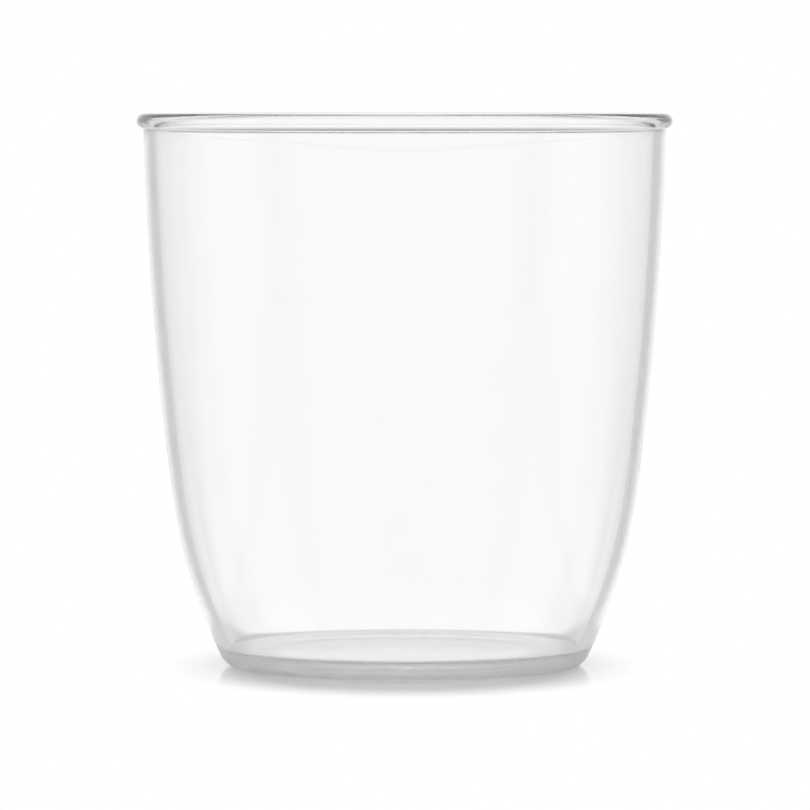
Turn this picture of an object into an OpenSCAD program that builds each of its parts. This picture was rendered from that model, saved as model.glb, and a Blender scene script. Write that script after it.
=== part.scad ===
// Clear plastic tumbler, moulded in one piece and turned about the vertical axis.
// It stands on the plane z = 0 with its axis on z.

/* [Cup] */
// Overall height, from the resting plane to the top of the rim
height = 93; // [80:1:110]
// Outside diameter over the rim bead
rim_d = 90; // [80:1:100]
// Thickness of the side wall, square to its surface
wall = 2.1; // [1.4:0.1:3]
// Thickness of the floor, from the resting plane to the inside
floor_t = 3.3; // [2.5:0.1:6]

/* [Side curve] */
// Lean of the side wall at the rim bead, in degrees from upright
mouth_lean = 1.2; // [0:0.1:3]
// Height of the knee, where the long upper curve passes into the tighter lower one
knee_z = 30; // [20:1:40]
// Lean of the side wall at the knee
knee_lean = 7.4; // [5:0.1:9]
// Lean that the side wall would reach at the resting plane
foot_lean = 26.5; // [20:0.5:32]

/* [Rim] */
// Diameter of the round bead on the outside of the rim
bead_d = 2.6; // [1.6:0.1:3.2]
// How far the bead stands out from the side wall
bead_out = 1.1; // [0.9:0.1:1.3]
// Rounding of the inner edge of the lip, which stops short of the bead
lip_round = 1.8; // [0.3:0.1:1.8]
// Rounding in the corner under the bead
bead_fillet = 0.3; // [0.2:0.1:1]

/* [Base] */
// Rounding of the foot edge
foot_round = 3; // [1:0.1:4]
// Rounding inside, between the floor and the side wall
floor_round = 1.2; // [0.6:0.1:4]
// Width of the flat ring that the cup rests on
ring_w = 2; // [1:0.5:6]
// Depth of the recess inside the ring
recess_h = 0.5; // [0.3:0.1:1.2]
// Lean of the recess edge, in degrees from upright
recess_lean = 70; // [30:5:75]
// Diameter of the gate mark in the middle of the recess
gate_d = 2; // [1:0.5:5]
// Height of the gate mark
gate_h = 0.1; // [0.05:0.05:0.25]

/* [Hidden] */
// How far the chords of an arc may lie off it, and the chords round the axis
chord_error = 0.005;
turn_fn = 128;

// The outside of the wall is two arcs that meet at the knee with the same lean.
// The upper one runs up to the height of the bead's centre.
bead_r = bead_d / 2;
bead_c = [rim_d / 2 - bead_r, height - bead_r];
mouth = [rim_d / 2 - bead_out, bead_c.y];
upper_r = (mouth.y - knee_z) / (sin(knee_lean) - sin(mouth_lean));
upper_c = mouth - upper_r * square_to(mouth_lean);
lower_r = knee_z / (sin(foot_lean) - sin(knee_lean));
lower_c = upper_c + (upper_r - lower_r) * square_to(knee_lean);

// Centres of the small roundings, each of which touches the faces that it joins
foot_c = beside(lower_c, lower_r - foot_round, foot_round);
floor_c = beside(lower_c, lower_r - wall - floor_round, floor_t + floor_round);
lip_r = min(lip_round, wall + bead_out - bead_r - 0.05);
lip_c = beside(upper_c, upper_r - wall + lip_r, height - lip_r);
fillet_c = crossing(upper_c, upper_r + bead_fillet, bead_c, bead_r + bead_fillet);

recess_r = foot_c.x - ring_w;
recess_top_r = recess_r - recess_h * tan(recess_lean);
gate_z = recess_h - gate_h;

// Direction square to a face with the given lean, pointing out and down
function square_to(lean) = [cos(lean), -sin(lean)];

// Point at the height z whose distance from c is r, on the outer side of c
function beside(c, r, z) = [c.x + sqrt(r ^ 2 - (z - c.y) ^ 2), z];

// Lower one of the two points where the circles about a and b cross
function crossing(a, a_r, b, b_r) =
    let (d = norm(b - a), u = (b - a) / d, s = (a_r ^ 2 - b_r ^ 2 + d ^ 2) / (2 * d))
    a + s * u + sqrt(a_r ^ 2 - s ^ 2) * [u.y, -u.x];

// Angle of the direction from one point to another
function angle_to(from, to) = atan2(to.y - from.y, to.x - from.x);

// Points along the arc about c between two angles
function arc(c, r, from, to) =
    let (n = ceil(abs(to - from) / (2 * acos(1 - chord_error / r))))
    [for (i = [0:n]) let (a = from + (to - from) * i / n) c + r * [cos(a), sin(a)]];

// Points after the first, for an arc that starts where the last one ended
function after_first(points) = [for (i = [1:len(points) - 1]) points[i]];

// Underside of the cup from the axis out to the foot edge
under = [
    [0, gate_z],
    [gate_d / 2, gate_z],
    [gate_d / 2, recess_h],
    [recess_top_r, recess_h],
    [recess_r, 0]
];

// Outside from the foot edge up to the corner under the bead
foot_turn = angle_to(lower_c, foot_c);
fillet_turn = angle_to(upper_c, fillet_c);
outside = concat(
    arc(foot_c, foot_round, -90, foot_turn),
    after_first(arc(lower_c, lower_r, foot_turn, -knee_lean)),
    after_first(arc(upper_c, upper_r, -knee_lean, fillet_turn))
);

// Rim from the corner under the bead, over the top, to the inside of the wall
bead_turn = angle_to(bead_c, fillet_c);
lip_turn = angle_to(upper_c, lip_c);
rim = concat(
    after_first(arc(fillet_c, bead_fillet, 180 + fillet_turn, 180 + bead_turn)),
    after_first(arc(bead_c, bead_r, bead_turn, 0)),
    after_first(arc(bead_c, bead_r, 0, 90)),
    arc(lip_c, lip_r, 90, 180 + lip_turn)
);

// Inside from the lip down to the middle of the floor
floor_turn = angle_to(lower_c, floor_c);
inside = concat(
    after_first(arc(upper_c, upper_r - wall, lip_turn, -knee_lean)),
    after_first(arc(lower_c, lower_r - wall, -knee_lean, floor_turn)),
    after_first(arc(floor_c, floor_round, floor_turn, -90)),
    [[0, floor_t]]
);

module cup() {
    color([0.93, 0.95, 0.96, 0.35])
        rotate_extrude($fn = turn_fn)
            polygon(concat(under, outside, rim, inside));
}

cup();
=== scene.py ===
from math import acos, atan2, ceil, cos, hypot, pi, radians, sin, sqrt, tan

import bmesh
import bpy
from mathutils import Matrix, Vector


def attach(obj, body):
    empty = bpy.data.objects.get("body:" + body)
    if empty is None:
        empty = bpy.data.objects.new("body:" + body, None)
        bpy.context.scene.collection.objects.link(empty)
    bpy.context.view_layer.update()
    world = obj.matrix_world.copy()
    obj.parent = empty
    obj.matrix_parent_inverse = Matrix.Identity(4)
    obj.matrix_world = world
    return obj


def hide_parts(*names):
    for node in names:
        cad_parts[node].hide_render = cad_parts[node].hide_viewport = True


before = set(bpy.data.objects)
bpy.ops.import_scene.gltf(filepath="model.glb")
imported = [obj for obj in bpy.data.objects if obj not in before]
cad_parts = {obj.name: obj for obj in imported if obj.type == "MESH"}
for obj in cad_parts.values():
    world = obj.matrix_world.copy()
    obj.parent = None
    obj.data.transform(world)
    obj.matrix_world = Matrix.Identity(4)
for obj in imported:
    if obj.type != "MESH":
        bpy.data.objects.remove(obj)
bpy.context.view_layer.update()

MM = 0.001

# Form of the cup, as in the model's source, in metres
HEIGHT = 93 * MM
RIM_D = 90 * MM
WALL = 2.1 * MM
FLOOR_T = 3.3 * MM
MOUTH_LEAN = radians(1.2)
KNEE_Z = 30 * MM
KNEE_LEAN = radians(7.4)
FOOT_LEAN = radians(26.5)
BEAD_R = 1.3 * MM
BEAD_OUT = 1.1 * MM
LIP_ROUND = 1.8 * MM
BEAD_FILLET = 0.3 * MM
FOOT_ROUND = 3.0 * MM
FLOOR_ROUND = 1.2 * MM
RING_W = 2.0 * MM
RECESS_H = 0.5 * MM
RECESS_LEAN = radians(70)
GATE_D = 2.0 * MM
GATE_H = 0.1 * MM

# Fineness of the turned mesh
CHORD_ERROR = 0.0006 * MM
TURNS = 288
SHARP_ANGLE = radians(25)
SAME_POINT = 0.0001 * MM

# The plastic: clear and polished, with small duller patches and a faint ripple
REFRACTION = 1.52
CLEARNESS = 0.99
TINT = [(0.3, 0.995), (0.7, 1.0)]
PATCH_SCALE = 240.0
PATCH_DETAIL = 4.0
PATCH_RANGE = (0.35, 0.75)
POLISHED_ROUGHNESS = 0.01
DULL_ROUGHNESS = 0.04
RIPPLE_SCALE = 55.0
RIPPLE_DETAIL = 1.0
RIPPLE_STRENGTH = 0.02
RIPPLE_HEIGHT = 1 * MM
ABSORPTION_COLOUR = (0.35, 0.37, 0.38, 1.0)
ABSORPTION = 0.6
# The underside and the foot rounding are satin, which fades out between two heights
SATIN_ROUGHNESS = 0.2
SATIN_END = (2.0 * MM, 3.4 * MM)

# Levels of the studio round the cup by the angle from straight behind it, in degrees:
# white sheets behind and at the sides, with greyer gaps between them, and a white front
STUDIO = [
    (0, 1.0), (11, 0.97), (17, 0.8), (22, 0.64), (27, 0.56), (31, 0.62), (38, 0.78),
    (50, 0.84), (63, 0.7), (76, 0.97), (104, 0.97), (117, 0.7), (130, 0.85), (180, 0.86),
]
# The sheet behind ends above the cup, and the grey over it ends at the light overhead.
# The first two pairs are heights on a sphere of radius 1.
GAP_START = (0.06, 0.5)
GAP_END = (0.75, 0.95)
GAP_WIDTH = (radians(12), radians(35))
# The grey deepens from the one level to the other between two heights
GAP_DEEPENS = (0.4, 0.55)
GAP_LEVELS = (0.53, 0.25)

# The studio's light levels are painted on the floor as a glow too. On the floor the angle is taken at
# the side of the cup, where the light leaves it
CUP_SIDE = 40 * MM
# Levels of a painted shadow on the floor close beside the foot, by the angle at the axis
PAINTED_SHADOW_BESIDE_FOOT = [(0, 1.0), (34, 1.0), (52, 0.65), (105, 0.65), (130, 1.0)]
# Distances from the axis between which the painted shadow fades into the studio's levels
PAINTED_SHADOW_END = (46 * MM, 62 * MM)

# The floor is a glossy sheet. Its lift stands in for light from white walls.
FLOOR_RADIUS = 0.4
FLOOR_SIDES = 96
FLOOR_GAP = 0.05 * MM
FLOOR_COLOUR = (0.75, 0.75, 0.75, 1.0)
FLOOR_LIFT = 0.2
FLOOR_REFRACTION = 1.5
FLOOR_ROUGHNESS = (0.06, 0.1)
GRAIN_SCALE = 90.0
GRAIN_DETAIL = 3.0
# It keeps the cup's shadow close to the cup and is white further out. Each pair is the
# distances from the axis between which it changes.
WHITE_TO_CAMERA = (36 * MM, 57 * MM)
# The shadow is this many times narrower along x than along y, where the painted white cuts it off
SHADOW_SHAPE = 1.35
# Through the cup, the floor glows white outside the foot and is part painted white under its middle,
# which is painted light over its shade there
WHITE_IN_CUP = (30 * MM, 37 * MM)
WHITE_UNDER_CUP = (20 * MM, 27 * MM)
UNDER_CUP_SHARE = 0.6

# Camera, from the photograph: the rim is seen about a quarter of a degree from above,
# and the foot about five and a half degrees from above
PHOTO_SIDE = 810
PIXEL = RIM_D / 534.4
CAMERA_DISTANCE = 1.0
CAMERA_Z = 0.0978
AIM_X = 0.07 * MM
AIM_Z = 43.9 * MM
SENSOR = 36.0
SIGHT = 20.0

# Light that is caught in the rim and in the floor of the cup turns many times
BOUNCES = 64


def along(centre, radius, angle):
    """Point at a distance from centre, in the direction of an angle."""
    return Vector((centre.x + radius * cos(angle), centre.y + radius * sin(angle)))


def beside(centre, radius, z):
    """Point at the height z whose distance from centre is radius, on the outer side."""
    return Vector((centre.x + sqrt(radius ** 2 - (z - centre.y) ** 2), z))


def crossing(a, a_r, b, b_r):
    """Lower one of the two points where the circles about a and b cross."""
    d = (b - a).length
    u = (b - a) / d
    s = (a_r ** 2 - b_r ** 2 + d ** 2) / (2 * d)
    return a + s * u + sqrt(a_r ** 2 - s ** 2) * Vector((u.y, -u.x))


def angle_to(start, end):
    """Angle of the direction from one point to another."""
    return atan2(end.y - start.y, end.x - start.x)


def arc(centre, radius, start, end):
    """Points along an arc between two angles."""
    step = 2 * acos(1 - CHORD_ERROR / radius)
    count = ceil(abs(end - start) / step)
    return [along(centre, radius, start + (end - start) * i / count) for i in range(count + 1)]


def cup_profile():
    """Half section from the axis under the foot, up the outside, over the rim and down the inside."""
    bead_c = Vector((RIM_D / 2 - BEAD_R, HEIGHT - BEAD_R))
    mouth = Vector((RIM_D / 2 - BEAD_OUT, HEIGHT - BEAD_R))
    upper_r = (mouth.y - KNEE_Z) / (sin(KNEE_LEAN) - sin(MOUTH_LEAN))
    upper_c = along(mouth, -upper_r, -MOUTH_LEAN)
    lower_r = KNEE_Z / (sin(FOOT_LEAN) - sin(KNEE_LEAN))
    lower_c = along(upper_c, upper_r - lower_r, -KNEE_LEAN)
    foot_c = beside(lower_c, lower_r - FOOT_ROUND, FOOT_ROUND)
    floor_c = beside(lower_c, lower_r - WALL - FLOOR_ROUND, FLOOR_T + FLOOR_ROUND)
    lip_c = beside(upper_c, upper_r - WALL + LIP_ROUND, HEIGHT - LIP_ROUND)
    fillet_c = crossing(upper_c, upper_r + BEAD_FILLET, bead_c, BEAD_R + BEAD_FILLET)
    recess_r = foot_c.x - RING_W
    recess_top_r = recess_r - RECESS_H * tan(RECESS_LEAN)
    foot_turn = angle_to(lower_c, foot_c)
    fillet_turn = angle_to(upper_c, fillet_c)
    bead_turn = angle_to(bead_c, fillet_c)
    lip_turn = angle_to(upper_c, lip_c)
    floor_turn = angle_to(lower_c, floor_c)
    under = [
        Vector((0, RECESS_H - GATE_H)),
        Vector((GATE_D / 2, RECESS_H - GATE_H)),
        Vector((GATE_D / 2, RECESS_H)),
        Vector((recess_top_r, RECESS_H)),
        Vector((recess_r, 0)),
    ]
    stretches = [
        under,
        arc(foot_c, FOOT_ROUND, -pi / 2, foot_turn),
        arc(lower_c, lower_r, foot_turn, -KNEE_LEAN),
        arc(upper_c, upper_r, -KNEE_LEAN, fillet_turn),
        arc(fillet_c, BEAD_FILLET, pi + fillet_turn, pi + bead_turn),
        arc(bead_c, BEAD_R, bead_turn, 0),
        arc(bead_c, BEAD_R, 0, pi / 2),
        arc(lip_c, LIP_ROUND, pi / 2, pi + lip_turn),
        arc(upper_c, upper_r - WALL, lip_turn, -KNEE_LEAN),
        arc(lower_c, lower_r - WALL, -KNEE_LEAN, floor_turn),
        arc(floor_c, FLOOR_ROUND, floor_turn, -pi / 2),
        [Vector((0, FLOOR_T))],
    ]
    points = []
    for point in (p for stretch in stretches for p in stretch):
        if not points or (point - points[-1]).length > SAME_POINT:
            points.append(point)
    return points


def turned(name, profile):
    """A closed surface of revolution about the z axis, whose profile starts and ends on the axis."""
    mesh = bpy.data.meshes.new(name)
    bm = bmesh.new()
    turns = [2 * pi * i / TURNS for i in range(TURNS)]
    rings = []
    for point in profile:
        if point.x < SAME_POINT:
            rings.append([bm.verts.new((0, 0, point.y))])
        else:
            rings.append([bm.verts.new((point.x * cos(a), point.x * sin(a), point.y)) for a in turns])
    for low, high in zip(rings, rings[1:]):
        for i in range(TURNS):
            j = (i + 1) % TURNS
            corners = [low[i % len(low)], low[j % len(low)], high[j % len(high)], high[i % len(high)]]
            bm.faces.new(dict.fromkeys(corners))
    bm.normal_update()
    for face in bm.faces:
        face.smooth = True
    for edge in bm.edges:
        edge.smooth = edge.calc_face_angle(0) < SHARP_ANGLE
    bm.to_mesh(mesh)
    bm.free()
    piece = bpy.data.objects.new(name, mesh)
    bpy.context.collection.objects.link(piece)
    return piece


class Nodes:
    """Short calls for building a node tree."""

    def __init__(self, tree):
        self.tree = tree
        tree.nodes.clear()

    def add(self, kind, settings=(), **inputs):
        node = self.tree.nodes.new(kind)
        for key, value in dict(settings).items():
            setattr(node, key, value)
        for key, value in inputs.items():
            self.feed(node.inputs[key.replace("_", " ")], value)
        return node

    def feed(self, socket, value):
        if isinstance(value, bpy.types.NodeSocket):
            self.tree.links.new(value, socket)
        else:
            socket.default_value = value

    def math(self, operation, *values):
        node = self.tree.nodes.new("ShaderNodeMath")
        node.operation = operation
        for socket, value in zip(node.inputs, values):
            self.feed(socket, value)
        return node.outputs[0]

    def mix(self, factor, first, second):
        node = self.add("ShaderNodeMix", {"data_type": "FLOAT"})
        for socket, value in zip(node.inputs[0:1] + node.inputs[2:4], (factor, first, second)):
            self.feed(socket, value)
        return node.outputs[0]

    def smooth(self, value, low, high, start=0.0, end=1.0):
        """Smooth step from start at the value low to end at the value high."""
        node = self.add(
            "ShaderNodeMapRange", {"interpolation_type": "SMOOTHSTEP"},
            Value=value, From_Min=low, From_Max=high, To_Min=start, To_Max=end,
        )
        return node.outputs[0]

    def ramp(self, factor, stops):
        node = self.tree.nodes.new("ShaderNodeValToRGB")
        node.color_ramp.interpolation = "EASE"
        elements = node.color_ramp.elements
        while len(elements) < len(stops):
            elements.new(1.0)
        for element, (place, level) in zip(elements, stops):
            element.position = place
            element.color = (level, level, level, 1)
        self.feed(node.inputs[0], factor)
        return node.outputs[0]


def clear_plastic():
    """Clear moulded plastic: polished, with a faint ripple, small duller patches and a satin foot."""
    material = bpy.data.materials.new("clear_plastic")
    material.use_nodes = True
    n = Nodes(material.node_tree)
    place = n.add("ShaderNodeTexCoord").outputs["Object"]
    ripple = n.add("ShaderNodeTexNoise", Vector=place, Scale=RIPPLE_SCALE, Detail=RIPPLE_DETAIL)
    patches = n.add("ShaderNodeTexNoise", Vector=place, Scale=PATCH_SCALE, Detail=PATCH_DETAIL)
    polish = n.add(
        "ShaderNodeMapRange", Value=patches.outputs["Fac"],
        From_Min=PATCH_RANGE[0], From_Max=PATCH_RANGE[1],
        To_Min=POLISHED_ROUGHNESS, To_Max=DULL_ROUGHNESS,
    )
    z = n.add("ShaderNodeSeparateXYZ", Vector=place).outputs["Z"]
    satin = n.smooth(z, *SATIN_END, SATIN_ROUGHNESS, 0.0)
    bump = n.add(
        "ShaderNodeBump", Height=ripple.outputs["Fac"],
        Strength=RIPPLE_STRENGTH, Distance=RIPPLE_HEIGHT,
    )
    shader = n.add(
        "ShaderNodeBsdfPrincipled",
        Base_Color=n.ramp(patches.outputs["Fac"], TINT),
        Roughness=n.math("ADD", polish.outputs[0], satin),
        Normal=bump.outputs[0],
        Transmission_Weight=CLEARNESS,
        IOR=REFRACTION,
    )
    inside = n.add("ShaderNodeVolumeAbsorption", Color=ABSORPTION_COLOUR, Density=ABSORPTION)
    n.add("ShaderNodeOutputMaterial", Surface=shader.outputs[0], Volume=inside.outputs[0])
    return material


def build_cup():
    cup = turned("tumbler", cup_profile())
    cup.data.materials.append(clear_plastic())
    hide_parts("cup")
    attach(cup, "root")


def turn_from_behind(n, x, y):
    """Angle from straight behind, the same to the left and to the right."""
    return n.math("ARCTAN2", n.math("ABSOLUTE", x), y)


def distance(n, x, y):
    """Distance from the axis."""
    return n.math("SQRT", n.math("ADD", n.math("MULTIPLY", x, x), n.math("MULTIPLY", y, y)))


def level_round(n, turn, levels):
    """Level at an angle from straight behind the cup."""
    return n.ramp(n.math("DIVIDE", turn, pi), [(angle / 180, level) for angle, level in levels])


def build_world():
    """White to the camera, and the studio's levels to the cup and the floor.

    It is so even that the rays that come upon it are enough, and it isn't sampled apart.
    """
    world = bpy.data.worlds.new("studio")
    world.use_nodes = True
    bpy.context.scene.world = world
    world.cycles.sampling_method = "NONE"
    n = Nodes(world.node_tree)
    ray = n.add("ShaderNodeTexCoord").outputs["Generated"]
    x, y, z = n.add("ShaderNodeSeparateXYZ", Vector=ray).outputs
    turn = turn_from_behind(n, x, y)
    gap = n.math("MULTIPLY", n.smooth(z, *GAP_START), n.smooth(z, *GAP_END, 1.0, 0.0))
    gap = n.math("MULTIPLY", gap, n.smooth(turn, *GAP_WIDTH, 1.0, 0.0))
    grey = n.smooth(z, *GAP_DEEPENS, *GAP_LEVELS)
    level = n.mix(gap, level_round(n, turn, STUDIO), grey)
    to_camera = n.add("ShaderNodeLightPath").outputs["Is Camera Ray"]
    light = n.add("ShaderNodeBackground", Color=n.math("MAXIMUM", level, to_camera), Strength=1.0)
    n.add("ShaderNodeOutputWorld", Surface=light.outputs[0])


def painted_floor_level(n, x, y, away):
    """Painted level of the floor as the cup shows it: the studio's light levels painted on, and a
    painted shadow close beside the foot.
    """
    aside = n.math("SUBTRACT", n.math("ABSOLUTE", x), CUP_SIDE)
    from_side = turn_from_behind(n, n.math("MAXIMUM", aside, 0.0), y)
    # Painted shadow close beside the foot
    painted_shadow = level_round(n, turn_from_behind(n, x, y), PAINTED_SHADOW_BESIDE_FOOT)
    return n.mix(n.smooth(away, *PAINTED_SHADOW_END), painted_shadow, level_round(n, from_side, STUDIO))


def white_floor():
    """Glossy white sheet that keeps the shadow near the cup, with a painted glow that the cup shows:
    the studio's light levels, a painted shadow beside the foot and painted white under its middle.
    """
    material = bpy.data.materials.new("white_floor")
    material.use_nodes = True
    n = Nodes(material.node_tree)
    place = n.add("ShaderNodeTexCoord").outputs["Object"]
    x, y, z = n.add("ShaderNodeSeparateXYZ", Vector=place).outputs
    away = distance(n, x, y)
    grain = n.add("ShaderNodeTexNoise", Vector=place, Scale=GRAIN_SCALE, Detail=GRAIN_DETAIL)
    polish = n.add(
        "ShaderNodeMapRange", Value=grain.outputs["Fac"],
        To_Min=FLOOR_ROUGHNESS[0], To_Max=FLOOR_ROUGHNESS[1],
    )
    sheet = n.add("ShaderNodeBsdfPrincipled", Base_Color=FLOOR_COLOUR, Roughness=polish.outputs[0])
    mirrored = n.add("ShaderNodeFresnel", IOR=FLOOR_REFRACTION).outputs[0]
    lift = n.math("MULTIPLY", n.math("SUBTRACT", 1.0, mirrored), FLOOR_LIFT)
    near = n.add("ShaderNodeAddShader")
    n.feed(near.inputs[0], sheet.outputs[0])
    n.feed(near.inputs[1], n.add("ShaderNodeEmission", Strength=lift).outputs[0])
    rays = n.add("ShaderNodeLightPath").outputs
    to_camera = rays["Is Camera Ray"]
    # The glow is white to the camera, and under the cup's middle it is painted light over the floor's
    # shade
    even = n.math("MAXIMUM", to_camera, n.smooth(away, *WHITE_UNDER_CUP, 1.0, 0.0))
    level = n.math("MAXIMUM", painted_floor_level(n, x, y, away), even)
    # Painted glow: white to the camera, and to the cup the studio's light levels with painted shade
    # and painted light
    white = n.add("ShaderNodeEmission", Strength=level)
    seen = n.math("MAXIMUM", rays["Is Glossy Ray"], rays["Is Transmission Ray"])
    seen = n.math("MAXIMUM", seen, to_camera)
    # Share of painted light under the cup's middle, over the shade
    under = n.smooth(away, *WHITE_UNDER_CUP, UNDER_CUP_SHARE, 0.0)
    in_cup = n.math("MAXIMUM", n.smooth(away, *WHITE_IN_CUP), under)
    # Where the shadow ends the floor glows white to the camera, painted over the rest of the shadow
    past_shadow = n.smooth(distance(n, n.math("MULTIPLY", x, SHADOW_SHAPE), y), *WHITE_TO_CAMERA)
    reach = n.mix(to_camera, in_cup, past_shadow)
    both = n.add("ShaderNodeMixShader", Fac=n.math("MULTIPLY", seen, reach))
    n.feed(both.inputs[1], near.outputs[0])
    n.feed(both.inputs[2], white.outputs[0])
    n.add("ShaderNodeOutputMaterial", Surface=both.outputs[0])
    return material


def build_floor():
    bpy.ops.mesh.primitive_circle_add(
        vertices=FLOOR_SIDES, radius=FLOOR_RADIUS, fill_type="NGON", location=(0, 0, -FLOOR_GAP),
    )
    floor = bpy.context.object
    floor.name = "floor"
    floor.data.materials.append(white_floor())


def build_camera():
    data = bpy.data.cameras.new("camera")
    data.sensor_width = SENSOR
    data.lens = SENSOR * hypot(CAMERA_DISTANCE, CAMERA_Z - AIM_Z) / (PHOTO_SIDE * PIXEL)
    data.clip_end = SIGHT
    camera = bpy.data.objects.new("camera", data)
    bpy.context.collection.objects.link(camera)
    camera.location = (AIM_X, -CAMERA_DISTANCE, CAMERA_Z)
    aim = Vector((AIM_X, 0, AIM_Z)) - camera.location
    camera.rotation_euler = aim.to_track_quat("-Z", "Y").to_euler()
    bpy.context.scene.camera = camera


def set_up_light_paths():
    cycles = bpy.context.scene.cycles
    cycles.max_bounces = BOUNCES
    cycles.glossy_bounces = BOUNCES
    cycles.transmission_bounces = BOUNCES


build_cup()
build_world()
build_floor()
build_camera()
set_up_light_paths()
bpy.context.scene.view_settings.view_transform = "Standard"
